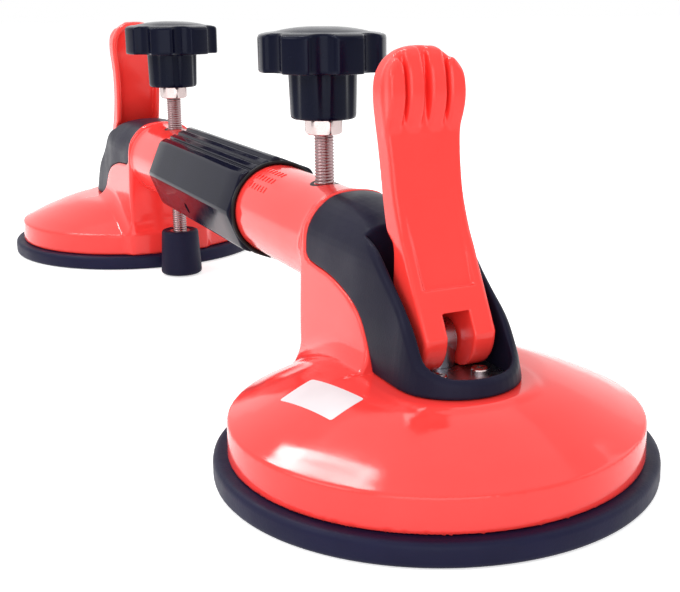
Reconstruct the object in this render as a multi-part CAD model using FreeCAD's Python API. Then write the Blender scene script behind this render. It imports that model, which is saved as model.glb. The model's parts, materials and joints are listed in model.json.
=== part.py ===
"""Floor tile suction lifter: two suction heads on a telescopic spreader tube.

Units are millimetres. The row frame has its origin on the floor midway between
the two heads, +X along the tube towards the right head, +Z up.
A head is modelled about its own cup axis with +x pointing outward, away from the
other head, then moved to the right or mirrored to the left.
"""
import FreeCAD, Part
import os
from math import cos, pi, radians, sin, sqrt

V = FreeCAD.Vector
X_AXIS = V(1, 0, 0)
Y_AXIS = V(0, 1, 0)
Z_AXIS = V(0, 0, 1)

# ---------------------------------------------------------------- driving sizes
CUP_SPACING = 390.0      # between the two cup axes, spreader at its rest setting
PAD_R = 75.0             # rubber suction pad
PAD_T = 7.8              # rim thickness of the pad
SKIRT_INSET = 5.0        # the red skirt stands this far inside the pad's edge
SHELL_WALL = 3.0         # moulded walls of the red housing
SKIRT_TOP_Z = 19.0       # where the skirt turns into the dome
DOME_RISE = 13.0         # skirt top to the foot of the lever pedestal
NECK_INSET = 6.0         # inner face of the neck, inside the pad's edge
TUBE_R = 19.7            # red spreader tube
TUBE_WALL = 3.5
TUBE_Z = 63.2            # axis of the spreader tube
ARCH_WALL = 1.6          # neck arch over the tube radius
SHROUD_WALL = 3.0        # black saddle cover
RIM_T = 5.0              # red rim left bare at the neck's inner face
DECK_Z = 35.0            # top of the steel wear plate under the lever
WEAR_T = 2.0
LIP_REACH = 34.0         # front of the shroud from the cup axis
BASE_HALF = 23.4         # half width of the shroud at its base
LIP_H = 6.8              # front lip above the pedestal
CHANNEL_HALF = 16.0      # lever channel
CHANNEL_BACK = 20.0
CHANNEL_FRONT = 30.6
CHANNEL_WALL = 2.4
LEFT_BARE = 49.0         # bare red tube between the left neck and the sleeve
RIGHT_BARE = 74.4
SLEEVE_CORNER_R = 23.6   # octagonal grip sleeve, corner radius
TUBE_OVERLAP = 20.0      # right tube inside the sleeve
JOURNAL_R = 16.0         # reduced end of the left tube, inside the sleeve
JOURNAL_L = 46.0
SCREW_R = 11.0           # spreader drive screw
NUT_L = 16.0             # spreader drive nut
GUIDE_SIDE = 10.0        # square guide bar
SPREAD_OUT = 14.0        # right head travel away from the left one
SPREAD_IN = 12.0
ROD_R = 4.0              # M8 levelling screw
NUT_AF = 13.0            # M8 jam nut across flats
NUT_H = 6.2
KNOB_R = 25.0
KNOB_LOBES = 7
KNOB_TURN = -23.0        # rest angle of the knob's first scallop
KNOB_T = 14.9
HUB_R = 13.5
HUB_H = 18.2
KNOB_BASE_Z = 108.3      # underside of the right knob's hub at rest
LEFT_SCREW_DROP = 2.3    # the left screw is set this much lower
FOOT_R = 11.4            # rubber foot, at its lower end
FOOT_TOP_R = 10.2
FOOT_H = 25.0
LEFT_FOOT_Z = 0.5        # left foot just clear of the floor
SCREW_GAP = 4.8          # between pad and foot
STEM_R = 6.5             # pull stem
EYE_HALF = 4.2           # flats on the stem's eye
PIN_R = 2.5              # lever pivot pin
CAM_LOW = 8.5            # pivot to the cam's flat, lever upright
CAM_RATE = 5.2           # millimetres of lift per radian of lever swing
LEVER_SWING = 90.0       # degrees
LEVER_HALF = 14.0
LEVER_TOP_Z = 140.0
STEM_PLATE_R = 22.0      # steel plate bonded on the pad's membrane
STEM_PLATE_T = 2.5
SPRING_WIRE_R = 0.9
SPRING_TURNS = 5

# ---------------------------------------------------------------- clearances
RUN = 0.05               # radial play of shafts and threads
SLIDE = 0.4              # telescoping red tube in the sleeve
GAP = 0.3                # between neighbours that must not touch
CAM_GAP = 0.2            # cam above the wear plate

# ---------------------------------------------------------------- worked out
SKIRT_R = PAD_R - SKIRT_INSET
NECK_REACH = PAD_R - NECK_INSET
ARCH_R = TUBE_R + ARCH_WALL
ARCH_Z = TUBE_Z + 0.8
CREST_Z = ARCH_Z + ARCH_R
PEDESTAL_Z = DECK_Z - 1.8
PIVOT_Z = DECK_Z + CAM_GAP + CAM_LOW
SCREW_X = PAD_R + FOOT_R + SCREW_GAP         # levelling screw from the cup axis
FOOT_REST_Z = LEFT_FOOT_Z + LEFT_SCREW_DROP
CUP_X = CUP_SPACING / 2
SLEEVE_X0 = -CUP_X + NECK_REACH + LEFT_BARE
SLEEVE_X1 = CUP_X - NECK_REACH - RIGHT_BARE
TUBE_BORE_R = TUBE_R - TUBE_WALL
STEM_LIFT = CAM_RATE * radians(LEVER_SWING)
BOSS_Z = DECK_Z - WEAR_T - 12.0              # underside of the stem guide boss
MEMBRANE_TOP = PAD_T - 3.0
PLATE_Z = MEMBRANE_TOP


# ---------------------------------------------------------------- small helpers
def cylinder(radius, start, end):
    """Round bar between two points."""
    axis = end - start
    return Part.makeCylinder(radius, axis.Length, start, axis)


def ring(outer, inner, start, end):
    return cylinder(outer, start, end).cut(cylinder(inner, start, end))


def block(x0, x1, y0, y1, z0, z1):
    return Part.makeBox(x1 - x0, y1 - y0, z1 - z0, V(x0, y0, z0))


def spline(points):
    curve = Part.BSplineCurve()
    curve.interpolate(points)
    return curve.toShape()


def prism(edges, direction):
    """Extrude the flat face inside a loop of edges."""
    face = Part.Face(Part.Wire(Part.__sortEdges__(edges)))
    return face.extrude(direction)


def polygon_prism(points, direction):
    face = Part.Face(Part.makePolygon(points + points[:1]))
    return face.extrude(direction)


def turned(points, axis=Z_AXIS):
    """Solid of revolution from a closed half section in the XZ plane."""
    face = Part.Face(Part.makePolygon(points + points[:1]))
    return face.revolve(V(0, 0, 0), axis, 360)


def fuse(shapes):
    return shapes[0].multiFuse(shapes[1:]).removeSplitter()


def to_right(shape):
    """Place a shape of the head's own frame on the right cup axis."""
    placed = shape.copy()
    placed.translate(V(CUP_X, 0, 0))
    return placed


def to_left(shape):
    """Mirror a shape of the head's own frame on to the left cup axis."""
    placed = shape.mirror(V(0, 0, 0), X_AXIS)
    placed.translate(V(-CUP_X, 0, 0))
    return placed


# ---------------------------------------------------------------- neck and saddle form
def plan_prism(inset):
    """Plan outline of neck and pedestal: straight neck, widened round front."""
    back = -(NECK_REACH - inset)
    neck = BASE_HALF - 1.0 - inset
    base = BASE_HALF - inset
    turn_x = LIP_REACH - BASE_HALF
    mid_x = -0.35 * NECK_REACH
    z0 = V(0, 0, PAD_T)
    corner = 4.0
    edges = []
    for side in (1, -1):
        near = V(back + corner, side * neck, 0) + z0
        flank = V(mid_x - 12, side * neck, 0) + z0
        edges.append(Part.makeLine(near, flank))
        edges.append(spline([flank, V(mid_x + 8, side * (neck + 0.3), 0) + z0,
                             V(turn_x - 12, side * (base - 0.3), 0) + z0,
                             V(turn_x, side * base, 0) + z0]))
        bend = corner * (1 - sqrt(0.5))
        edges.append(Part.Arc(near, V(back + bend, side * (neck - bend), 0) + z0,
                              V(back, side * (neck - corner), 0) + z0).toShape())
    edges.append(Part.makeLine(V(back, neck - corner, 0) + z0, V(back, corner - neck, 0) + z0))
    edges.append(Part.Arc(V(turn_x, base, 0) + z0, V(LIP_REACH - inset, 0, 0) + z0,
                          V(turn_x, -base, 0) + z0).toShape())
    return prism(edges, V(0, 0, CREST_Z))


def side_prism(inset):
    """Side outline: tube crest, swoop down to the front lip."""
    back = -(NECK_REACH - inset)
    front = LIP_REACH - inset + 1
    lip = PEDESTAL_Z + LIP_H
    drop = CREST_Z - lip
    reach = -0.66 * NECK_REACH
    top = [V(back, 0, CREST_Z - 3.8 - inset), V(reach, 0, CREST_Z - inset),
           V(-25, 0, CREST_Z - 0.08 * drop - inset), V(-10, 0, CREST_Z - 0.25 * drop - inset),
           V(0, 0, CREST_Z - 0.425 * drop - inset), V(6, 0, CREST_Z - 0.53 * drop - inset),
           V(11.6, 0, CREST_Z - 0.64 * drop - inset), V(15.5, 0, CREST_Z - 0.73 * drop - inset),
           V(18.5, 0, CREST_Z - 0.825 * drop - inset), V(21.5, 0, CREST_Z - 0.91 * drop - inset),
           V(26, 0, CREST_Z - 0.955 * drop - inset), V(30, 0, CREST_Z - 0.985 * drop - inset),
           V(front, 0, lip - inset)]
    low = PAD_T
    edges = [spline(top), Part.makeLine(V(front, 0, lip - inset), V(front, 0, low)),
             Part.makeLine(V(front, 0, low), V(back, 0, low)),
             Part.makeLine(V(back, 0, low), V(back, 0, CREST_Z - 3.8 - inset))]
    half = BASE_HALF + 5
    shape = prism(edges, V(0, 2 * half, 0))
    shape.translate(V(0, -half, 0))
    return shape


def end_prism(inset):
    """End-on outline: arch over the tube, flanks spreading to the base."""
    arch = ARCH_R - inset
    base = BASE_HALF - inset
    mid_z = (ARCH_Z + PEDESTAL_Z) / 2
    x0 = V(-NECK_REACH, 0, 0)
    edges = [Part.Arc(V(0, arch, ARCH_Z) + x0, V(0, 0, ARCH_Z + arch) + x0,
                      V(0, -arch, ARCH_Z) + x0).toShape()]
    for side in (1, -1):
        edges.append(spline([V(0, side * arch, ARCH_Z) + x0,
                             V(0, side * (arch + 0.6 * (base - arch)), mid_z) + x0,
                             V(0, side * base, PEDESTAL_Z) + x0]))
        edges.append(Part.makeLine(V(0, side * base, PEDESTAL_Z) + x0, V(0, side * base, PAD_T) + x0))
    edges.append(Part.makeLine(V(0, base, PAD_T) + x0, V(0, -base, PAD_T) + x0))
    return prism(edges, V(NECK_REACH + LIP_REACH + 2, 0, 0))


def flank_cut(inset, side):
    """Slab outside the sloping flank beside the lever channel."""
    low = V(14, side * (BASE_HALF - inset), PEDESTAL_Z)
    high = V(14, side * (BASE_HALF - 4.5 - inset), PEDESTAL_Z + 26.8)
    back = V(-22, side * (ARCH_R + 0.7 - inset), ARCH_Z + 2)
    outward = (back - low).cross(high - low)
    outward.normalize()
    if outward.y * side < 0:
        outward = outward * -1
    size = 2 * CREST_Z
    along = (back - high).normalize()
    across = outward.cross(along)
    corners = [high + along * (size * a) + across * (size * b)
               for a, b in ((1, 1), (1, -1), (-1, -1), (-1, 1))]
    return polygon_prism(corners, outward * BASE_HALF)


def saddle_form(inset):
    """Outer form of neck and shroud together, moved inward by inset."""
    body = plan_prism(inset).common(side_prism(inset)).common(end_prism(inset))
    for side in (1, -1):
        body = body.cut(flank_cut(inset, side))
    return body


def shroud_zone():
    """Everything above the line where the black cover meets the red neck."""
    start = -NECK_REACH + RIM_T
    low = TUBE_Z - 4.0
    drop = low - PEDESTAL_Z
    line = [V(start, 0, low + 7), V(start + 2.5, 0, low + 1.6), V(start + 9, 0, low),
            V(start + 18, 0, low - 0.6), V(-35, 0, low - 0.08 * drop), V(-24, 0, low - 0.2 * drop),
            V(-16.5, 0, low - 0.36 * drop), V(-11.5, 0, low - 0.58 * drop),
            V(-7.5, 0, low - 0.83 * drop), V(-5, 0, PEDESTAL_Z)]
    far = LIP_REACH + 10
    high = CREST_Z + 20
    edges = [spline(line), Part.makeLine(line[-1], V(far, 0, PEDESTAL_Z)),
             Part.makeLine(V(far, 0, PEDESTAL_Z), V(far, 0, high)),
             Part.makeLine(V(far, 0, high), V(start, 0, high)),
             Part.makeLine(V(start, 0, high), line[0])]
    half = BASE_HALF + 10
    zone = prism(edges, V(0, 2 * half, 0))
    zone.translate(V(0, -half, 0))
    return zone


def channel(grow, floor_z):
    """Lever channel, open upward, with a rounded front."""
    half = CHANNEL_HALF + grow
    back = -CHANNEL_BACK - grow
    front = CHANNEL_FRONT + grow
    nose = front - half * 0.75
    floor = V(0, 0, floor_z)
    edges = [Part.makeLine(V(back, half, 0) + floor, V(nose, half, 0) + floor),
             Part.Arc(V(nose, half, 0) + floor, V(front, 0, 0) + floor,
                      V(nose, -half, 0) + floor).toShape(),
             Part.makeLine(V(nose, -half, 0) + floor, V(back, -half, 0) + floor),
             Part.makeLine(V(back, -half, 0) + floor, V(back, half, 0) + floor)]
    return prism(edges, V(0, 0, CREST_Z + 20 - floor_z))


# ---------------------------------------------------------------- housing
def dome_solid(inset):
    """Skirt, round shoulder and shallow dome rising to the pedestal."""
    skirt = SKIRT_R - inset
    top = SKIRT_TOP_Z + DOME_RISE - inset
    rise = DOME_RISE
    z0 = PAD_T if inset == 0 else PAD_T - 1
    outline = [V(skirt - 0.5, 0, SKIRT_TOP_Z - 0.5 * inset),
               V(skirt - 2.5, 0, SKIRT_TOP_Z + 0.04 * rise - 0.7 * inset),
               V(skirt - 6.0, 0, SKIRT_TOP_Z + 0.13 * rise - inset),
               V(skirt - 12.0, 0, SKIRT_TOP_Z + 0.36 * rise - inset),
               V(skirt - 20.0, 0, SKIRT_TOP_Z + 0.62 * rise - inset),
               V(skirt - 28.0, 0, SKIRT_TOP_Z + 0.83 * rise - inset),
               V(skirt - 35.0, 0, top)]
    edges = [spline(outline), Part.makeLine(V(skirt, 0, z0), outline[0]),
             Part.makeLine(outline[-1], V(0, 0, top)), Part.makeLine(V(0, 0, top), V(0, 0, z0)),
             Part.makeLine(V(0, 0, z0), V(skirt, 0, z0))]
    face = Part.Face(Part.Wire(Part.__sortEdges__(edges)))
    return face.revolve(V(0, 0, 0), Z_AXIS, 360)


def shroud_screw_places():
    """Two screws hold the wear plate and the shroud's floor down."""
    return [V(15.0, side * 8.0, 0) for side in (1, -1)]


def head_shell(form):
    """Hollow red housing of one head, without its tube."""
    inner_form = saddle_form(SHROUD_WALL)
    zone = shroud_zone()
    outer = fuse([dome_solid(0), form.cut(zone), inner_form.common(zone)])
    cavity = fuse([dome_solid(SHELL_WALL), saddle_form(SHROUD_WALL + SHELL_WALL)])
    deck_low = DECK_Z - WEAR_T - SHELL_WALL
    deck = inner_form.common(block(-CHANNEL_BACK - 5, LIP_REACH, -BASE_HALF, BASE_HALF,
                                   deck_low, DECK_Z - WEAR_T))
    boss = cylinder(STEM_R + 4.5, V(0, 0, BOSS_Z), V(0, 0, deck_low + 1))
    posts = [cylinder(3.6, p + V(0, 0, BOSS_Z + 2), p + V(0, 0, deck_low + 1))
             for p in shroud_screw_places()]
    shell = fuse([outer.cut(cavity), deck, boss] + posts)
    pocket = channel(CHANNEL_WALL, DECK_Z - WEAR_T)
    bores = [cylinder(STEM_R + RUN, V(0, 0, BOSS_Z - 1), V(0, 0, CREST_Z))]
    bores += [cylinder(1.5, p + V(0, 0, BOSS_Z + 4), p + V(0, 0, CREST_Z))
              for p in shroud_screw_places()]
    return shell.cut(fuse([pocket] + bores))


def levelling_column():
    """Solid post across the tube for the levelling screw's threaded bush."""
    low = TUBE_Z - TUBE_R + 0.2
    return cylinder(ROD_R + 4.5, V(-SCREW_X, 0, low), V(-SCREW_X, 0, TUBE_Z + TUBE_R - 0.4))


def column_bores():
    base = V(-SCREW_X, 0, 0)
    up = TUBE_Z + TUBE_R
    return fuse([cylinder(ROD_R + 0.4, base + V(0, 0, TUBE_Z - TUBE_R - 2), base + V(0, 0, up + 2)),
                 cylinder(ROD_R + 1.8, base + V(0, 0, TUBE_Z - TUBE_R - 2),
                          base + V(0, 0, TUBE_Z)),
                 cylinder(ROD_R + 1.3, base + V(0, 0, up - 1.4), base + V(0, 0, up + 2))])


def graduation_ticks():
    """Raised scale on the tube's crown next to the sleeve: one tick every 2 mm."""
    ticks = []
    start = -CUP_X + SLEEVE_X1 + 1.5
    for index in range(12):
        long_tick = index % 5 == 0
        angle = 16 if long_tick else 10
        x = start + 2 * index
        band = ring(TUBE_R + 0.35, TUBE_R - 0.5, V(x, 0, TUBE_Z), V(x + 0.7, 0, TUBE_Z))
        wedge = polygon_prism([V(x - 1, 0, TUBE_Z),
                               V(x - 1, 30 * sin(radians(angle)), TUBE_Z + 30 * cos(radians(angle))),
                               V(x - 1, -30 * sin(radians(angle)), TUBE_Z + 30 * cos(radians(angle)))],
                              V(3, 0, 0))
        ticks.append(band.common(wedge))
    return ticks


def right_housing(form):
    """Right head with the telescoping tube that carries the drive screw."""
    end = SLEEVE_X1 - TUBE_OVERLAP - CUP_X
    neck = -NECK_REACH + SHELL_WALL
    tube = cylinder(TUBE_R, V(end, 0, TUBE_Z), V(neck, 0, TUBE_Z))
    hollow = cylinder(TUBE_BORE_R, V(end + 5, 0, TUBE_Z), V(neck - 2, 0, TUBE_Z))
    body = fuse([head_shell(form), tube.cut(hollow), levelling_column()] + graduation_ticks())
    body = body.cut(cylinder(SCREW_R, V(end - 1, 0, TUBE_Z), V(end + 6, 0, TUBE_Z)))
    return to_right(body.cut(column_bores()))


def left_housing(form):
    """Left head with the journal that the sleeve turns on."""
    shoulder = CUP_X + SLEEVE_X0            # outward frame, measured towards the middle
    neck = -NECK_REACH + SHELL_WALL
    end = -shoulder - JOURNAL_L
    web = 6.0
    tube = cylinder(TUBE_R, V(-shoulder, 0, TUBE_Z), V(neck, 0, TUBE_Z))
    journal = cylinder(JOURNAL_R, V(end, 0, TUBE_Z), V(-shoulder + 1, 0, TUBE_Z))
    hollow = cylinder(TUBE_BORE_R, V(-shoulder + web, 0, TUBE_Z), V(neck - 2, 0, TUBE_Z))
    bore = cylinder(SCREW_R + 1.6, V(end - 1, 0, TUBE_Z), V(-shoulder - 1, 0, TUBE_Z))
    groove = ring(JOURNAL_R + 1, JOURNAL_R - 1.2, V(end + 3, 0, TUBE_Z), V(end + 4.6, 0, TUBE_Z))
    half = GUIDE_SIDE / 2
    key = block(-shoulder - 2, -shoulder + web + 2, -half, half, TUBE_Z - half, TUBE_Z + half)
    body = fuse([head_shell(form), tube.cut(hollow), journal, levelling_column()])
    body = body.cut(fuse([bore, key])).cut(groove)
    return to_left(body.cut(column_bores()))


# ---------------------------------------------------------------- shroud and its fittings
def shroud(form):
    """Black saddle cover with the walls of the lever channel."""
    zone = shroud_zone()
    cover = form.cut(saddle_form(SHROUD_WALL)).common(zone)
    walls = channel(CHANNEL_WALL, DECK_Z - WEAR_T).common(form).common(zone)
    body = fuse([cover, walls])
    return body.cut(channel(0, DECK_Z - WEAR_T - 1))


def wear_plate():
    """Steel plate that the cams press on."""
    plate = channel(-GAP, DECK_Z - WEAR_T).common(block(-12, CHANNEL_FRONT, -BASE_HALF, BASE_HALF,
                                                        DECK_Z - WEAR_T, DECK_Z))
    cuts = [cylinder(STEM_R + GAP, V(0, 0, DECK_Z - 4), V(0, 0, DECK_Z + 1))]
    cuts += [cylinder(1.9, p + V(0, 0, DECK_Z - 4), p + V(0, 0, DECK_Z + 1))
             for p in shroud_screw_places()]
    return plate.cut(fuse(cuts))


def shroud_screws():
    """Pan-head cross-recess screws through the wear plate."""
    screws = []
    for p in shroud_screw_places():
        head = cylinder(3.2, p + V(0, 0, DECK_Z), p + V(0, 0, DECK_Z + 1.6))
        head = head.makeFillet(0.7, [head.Edges[0]])
        shank = cylinder(1.5, p + V(0, 0, BOSS_Z + 4.5), p + V(0, 0, DECK_Z + 0.2))
        cross = fuse([block(-2, 2, -0.4, 0.4, 0, 2), block(-0.4, 0.4, -2, 2, 0, 2)])
        cross.translate(p + V(0, 0, DECK_Z + 0.9))
        screws.append(head.fuse(shank).cut(cross))
    return Part.makeCompound(screws)


# ---------------------------------------------------------------- pad, stem and lever
def pad():
    """Rubber suction pad: sealing rim, membrane and the seat of the steel plate."""
    seat = STEM_PLATE_R + GAP
    return turned([V(0, 0, 0.8), V(PAD_R - 22, 0, 0.8), V(PAD_R - 19, 0, 0), V(PAD_R - 1.0, 0, 0),
                   V(PAD_R, 0, 1.0), V(PAD_R, 0, PAD_T - 0.8), V(PAD_R - 0.8, 0, PAD_T),
                   V(SKIRT_R - SHELL_WALL - GAP, 0, PAD_T),
                   V(SKIRT_R - SHELL_WALL - 1.2, 0, PAD_T + 3), V(SKIRT_R - SHELL_WALL - 5, 0, PAD_T + 3),
                   V(SKIRT_R - SHELL_WALL - 7, 0, PAD_T - 1.5), V(seat + 6, 0, MEMBRANE_TOP),
                   V(seat + 4, 0, PLATE_Z + STEM_PLATE_T), V(seat, 0, PLATE_Z + STEM_PLATE_T),
                   V(seat, 0, MEMBRANE_TOP), V(0, 0, MEMBRANE_TOP)])


def stem_plate():
    return ring(STEM_PLATE_R, STEM_R - 1.5, V(0, 0, PLATE_Z), V(0, 0, PLATE_Z + STEM_PLATE_T))


def stem():
    """Pull stem with a flat eye for the lever pin."""
    top = PIVOT_Z + STEM_R - 0.5
    shank = fuse([cylinder(STEM_R, V(0, 0, PLATE_Z + STEM_PLATE_T), V(0, 0, PIVOT_Z)),
                  cylinder(STEM_R - 1.5, V(0, 0, PLATE_Z), V(0, 0, PLATE_Z + STEM_PLATE_T + 1))])
    flats_z = DECK_Z - STEM_LIFT - 1.5
    flats = block(-20, 20, -20, 20, flats_z, top + 5).cut(
        block(-20, 20, -EYE_HALF, EYE_HALF, flats_z - 1, top + 6))
    crown = cylinder(STEM_R, V(0, -EYE_HALF, PIVOT_Z), V(0, EYE_HALF, PIVOT_Z))
    body = fuse([shank.cut(flats), crown])
    return body.cut(cylinder(PIN_R + RUN, V(0, -20, PIVOT_Z), V(0, 20, PIVOT_Z)))


def return_spring():
    """Coil spring between the stem plate and the guide boss."""
    low = PLATE_Z + STEM_PLATE_T + SPRING_WIRE_R + 0.02
    height = BOSS_Z - SPRING_WIRE_R - 0.02 - low
    mean = STEM_R + 1.2 + SPRING_WIRE_R
    helix = Part.makeHelix(height / SPRING_TURNS, height, mean)
    helix.translate(V(0, 0, low))
    section = Part.Wire(Part.makeCircle(SPRING_WIRE_R, V(mean, 0, low), Y_AXIS))
    return Part.Wire(helix).makePipeShell([section], True, True)


def cam_point(angle):
    """Point of the cam outline whose tangent faces angle from straight down."""
    reach = CAM_LOW + CAM_RATE * angle
    return V(reach * sin(angle) + CAM_RATE * cos(angle), 0,
             PIVOT_Z - reach * cos(angle) + CAM_RATE * sin(angle))


def lever_side():
    """Side outline of the cam lever, extruded across its full width."""
    swing = radians(LEVER_SWING)
    cam = [cam_point(swing * step / 8) for step in range(9)]
    face_top = V(-10.5, 0, LEVER_TOP_Z - 1.5)
    front = [cam[-1], V(12.6, 0, PIVOT_Z + 14), V(7.9, 0, PIVOT_Z + 23), V(3.7, 0, PIVOT_Z + 31),
             V(-0.1, 0, PIVOT_Z + 37.5), V(-3.6, 0, PIVOT_Z + 47), V(-5.4, 0, PIVOT_Z + 62),
             V(-5.3, 0, PIVOT_Z + 78), V(-6.2, 0, PIVOT_Z + 89), face_top]
    back_top = V(-17.0, 0, LEVER_TOP_Z - 4)
    back = [back_top, V(-18, 0, PIVOT_Z + 78), V(-15.8, 0, PIVOT_Z + 62),
            V(-12.5, 0, PIVOT_Z + 44), V(-9.0, 0, PIVOT_Z + 34), V(-7.0, 0, PIVOT_Z + 22),
            V(-7.0, 0, PIVOT_Z + 4)]
    heel = V(-4.5, 0, PIVOT_Z - CAM_LOW)
    edges = [spline(cam), spline(front),
             Part.Arc(face_top, V(-14.0, 0, LEVER_TOP_Z), back_top).toShape(), spline(back),
             Part.Arc(back[-1], V(-6.6, 0, PIVOT_Z - CAM_LOW + 2), heel).toShape(),
             Part.makeLine(heel, cam[0])]
    half = LEVER_HALF + 3
    side = prism(edges, V(0, 2 * half, 0))
    side.translate(V(0, -half, 0))
    return side


def lever():
    """Cam lever: finger grip, hollow back, forked foot."""
    z0 = PIVOT_Z - CAM_LOW - 1
    grip = LEVER_HALF + 1.2
    crown = LEVER_TOP_Z + 1
    edges = [Part.makeLine(V(-30, -LEVER_HALF, z0), V(-30, LEVER_HALF, z0))]
    for side in (1, -1):
        edges.append(spline([V(-30, side * LEVER_HALF, z0),
                             V(-30, side * (LEVER_HALF - 0.2), PIVOT_Z + 36),
                             V(-30, side * grip, PIVOT_Z + 78),
                             V(-30, side * (grip - 1.0), LEVER_TOP_Z - 10)]))
    edges.append(Part.Arc(V(-30, grip - 1.0, LEVER_TOP_Z - 10), V(-30, 0, crown),
                          V(-30, 1.0 - grip, LEVER_TOP_Z - 10)).toShape())
    outline = prism(edges, V(60, 0, 0))
    body = lever_side().common(outline)
    slot = block(-30, 30, -EYE_HALF - 0.7, EYE_HALF + 0.7, z0 - 1, PIVOT_Z + 12)
    hollow = lever_side()
    hollow.translate(V(-SHELL_WALL, 0, 0))
    hollow = hollow.common(block(-40, 40, -LEVER_HALF + SHELL_WALL, LEVER_HALF - SHELL_WALL,
                                 PIVOT_Z + 17, LEVER_TOP_Z - 8))
    pin_hole = cylinder(PIN_R, V(0, -30, PIVOT_Z), V(0, 30, PIVOT_Z))
    return body.cut(slot).cut(hollow).cut(pin_hole)


def lever_pin():
    half = LEVER_HALF - 0.4
    return cylinder(PIN_R, V(0, -half, PIVOT_Z), V(0, half, PIVOT_Z))


# ---------------------------------------------------------------- levelling screw
def threaded_bush():
    """Threaded bush pressed into the tube's column from below."""
    base = V(-SCREW_X, 0, 0)
    low = TUBE_Z - TUBE_R + 0.4
    return ring(ROD_R + 1.8, ROD_R + RUN, base + V(0, 0, low), base + V(0, 0, TUBE_Z))


def knob():
    """Star knob: domed lobed rim on a fluted hub."""
    base = V(-SCREW_X, 0, KNOB_BASE_Z)
    rim_z = HUB_H
    crown = rim_z + KNOB_T
    outline = [V(0, 0, 0), V(HUB_R - 0.8, 0, 0), V(HUB_R, 0, 1.0), V(HUB_R, 0, rim_z),
               V(KNOB_R - 0.6, 0, rim_z), V(KNOB_R, 0, rim_z + 0.6), V(KNOB_R, 0, crown - 2.0),
               V(KNOB_R - 1.2, 0, crown - 0.8), V(KNOB_R - 7, 0, crown + 0.3),
               V(KNOB_R - 13, 0, crown + 1.7), V(0, 0, crown + 2.2)]
    body = turned(outline)
    for index in range(KNOB_LOBES):
        angle = radians(KNOB_TURN) + 2 * pi * index / KNOB_LOBES
        spot = V((KNOB_R + 2.6) * cos(angle), (KNOB_R + 2.6) * sin(angle), rim_z - 0.5)
        body = body.cut(cylinder(6.2, spot, spot + V(0, 0, KNOB_T + 4)))
        flute = V((HUB_R + 2.4) * cos(angle), (HUB_R + 2.4) * sin(angle), -1)
        body = body.cut(cylinder(3.2, flute, flute + V(0, 0, rim_z - 2)))
    body = body.cut(cylinder(ROD_R + 2.2, V(0, 0, -1), V(0, 0, rim_z + 4)))
    body.translate(base)
    return body


def knob_insert():
    """Brass insert moulded into the knob; the rod is locked in it."""
    base = V(-SCREW_X, 0, KNOB_BASE_Z)
    return ring(ROD_R + 2.2, ROD_R, base, base + V(0, 0, HUB_H + 4))


def jam_nut():
    base = V(-SCREW_X, 0, KNOB_BASE_Z - NUT_H)
    corner = NUT_AF / 2 / cos(pi / 6)
    points = [base + V(corner * cos(pi / 3 * i), corner * sin(pi / 3 * i), 0) for i in range(6)]
    body = polygon_prism(points, V(0, 0, NUT_H))
    bevel = turned([V(0, 0, 0), V(corner - 1.1, 0, 0), V(corner + 0.4, 0, 1.0),
                    V(corner + 0.4, 0, NUT_H - 1.0), V(corner - 1.1, 0, NUT_H), V(0, 0, NUT_H)])
    bevel.translate(base)
    return body.common(bevel).cut(cylinder(ROD_R, base - Z_AXIS, base + V(0, 0, NUT_H + 1)))


def levelling_rod():
    """Threaded rod from the knob down to the button inside the foot."""
    base = V(-SCREW_X, 0, 0)
    tip = FOOT_REST_Z + 6.0
    rod = cylinder(ROD_R, base + V(0, 0, tip), base + V(0, 0, KNOB_BASE_Z + HUB_H + 3))
    button = cylinder(ROD_R + 2.0, base + V(0, 0, tip), base + V(0, 0, tip + 2.5))
    return rod.fuse(button).removeSplitter()


def foot():
    """Rubber foot that swivels on the rod's button."""
    base = V(-SCREW_X, 0, FOOT_REST_Z)
    body = turned([V(0, 0, 0), V(FOOT_R - 1.2, 0, 0), V(FOOT_R, 0, 1.4),
                   V(FOOT_TOP_R, 0, FOOT_H - 1), V(FOOT_TOP_R - 1, 0, FOOT_H), V(0, 0, FOOT_H)])
    bush_r = ROD_R + 3.0
    cuts = [cylinder(ROD_R + 2.0 + GAP, V(0, 0, 5.5), V(0, 0, 9.0)),
            cylinder(bush_r, V(0, 0, 8.9), V(0, 0, FOOT_H + 1))]
    body = body.cut(fuse(cuts))
    body.translate(base)
    return body


def foot_bush():
    """Steel bush in the foot; the rod turns in it."""
    base = V(-SCREW_X, 0, FOOT_REST_Z)
    return ring(ROD_R + 3.0, ROD_R + RUN, base + V(0, 0, 9.0), base + V(0, 0, FOOT_H - 0.6))


# ---------------------------------------------------------------- spreader
def sleeve():
    """Black grip sleeve: octagonal, with ribbed crown and underside."""
    x0 = SLEEVE_X0 + GAP
    length = SLEEVE_X1 - x0
    corners = [V(x0, SLEEVE_CORNER_R * cos(pi / 4 * i), TUBE_Z + SLEEVE_CORNER_R * sin(pi / 4 * i))
               for i in range(8)]
    body = polygon_prism(corners, V(length, 0, 0))
    groove_r = 1.3
    for top in (90, 270):
        for offset in (-33, -20, -7, 7, 20, 33):
            angle = radians(top + offset)
            apothem = SLEEVE_CORNER_R * cos(pi / 8) + 0.75
            spot = V(x0 - 1, apothem * cos(angle), TUBE_Z + apothem * sin(angle))
            body = body.cut(cylinder(groove_r, spot, spot + V(length + 2, 0, 0)))
    journal_end = SLEEVE_X0 + JOURNAL_L - 6
    axis0 = V(x0 - 1, 0, TUBE_Z)
    journal_bore = cylinder(JOURNAL_R + RUN, axis0, V(journal_end + 1, 0, TUBE_Z))
    wide = cylinder(TUBE_R + SLIDE, V(journal_end, 0, TUBE_Z), V(SLEEVE_X1 + 1, 0, TUBE_Z))
    return body.cut(fuse([journal_bore, wide]))


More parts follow.
